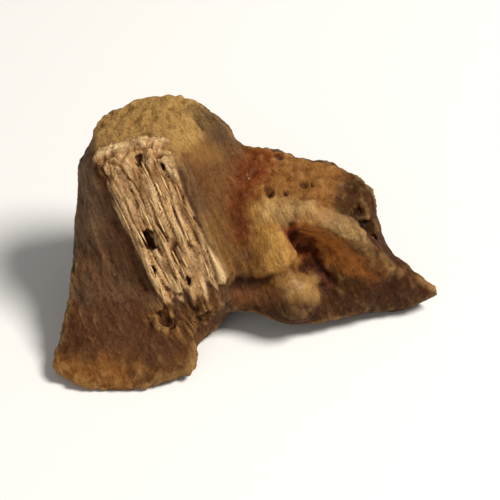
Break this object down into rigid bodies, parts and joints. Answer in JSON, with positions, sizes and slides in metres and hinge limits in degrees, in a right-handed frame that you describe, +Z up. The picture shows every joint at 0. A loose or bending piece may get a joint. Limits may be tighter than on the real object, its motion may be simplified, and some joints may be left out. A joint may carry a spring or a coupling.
{
  "type": "dried devil's claw root chip",
  "caption": "Hard brown chip of dried devil's claw root, split along its grain: coarse pale fibres on one face, an amber wing with a gully and a pointed tail, wrinkled bark behind.",
  "frame": {"origin": "on the surface the chip lies on, below the middle of its length and depth", "axes": "+X along its longest way, toward the pointed tail; -Y toward the split face with the fibres; +Z up"},
  "size_m": [0.013, 0.008, 0.007],
  "materials": {
    "dried_root": "dry, matt to slightly waxy"
  },
  "bodies": {
    "root": {"root_chip": "dried_root"}
  },
  "joints": []
}
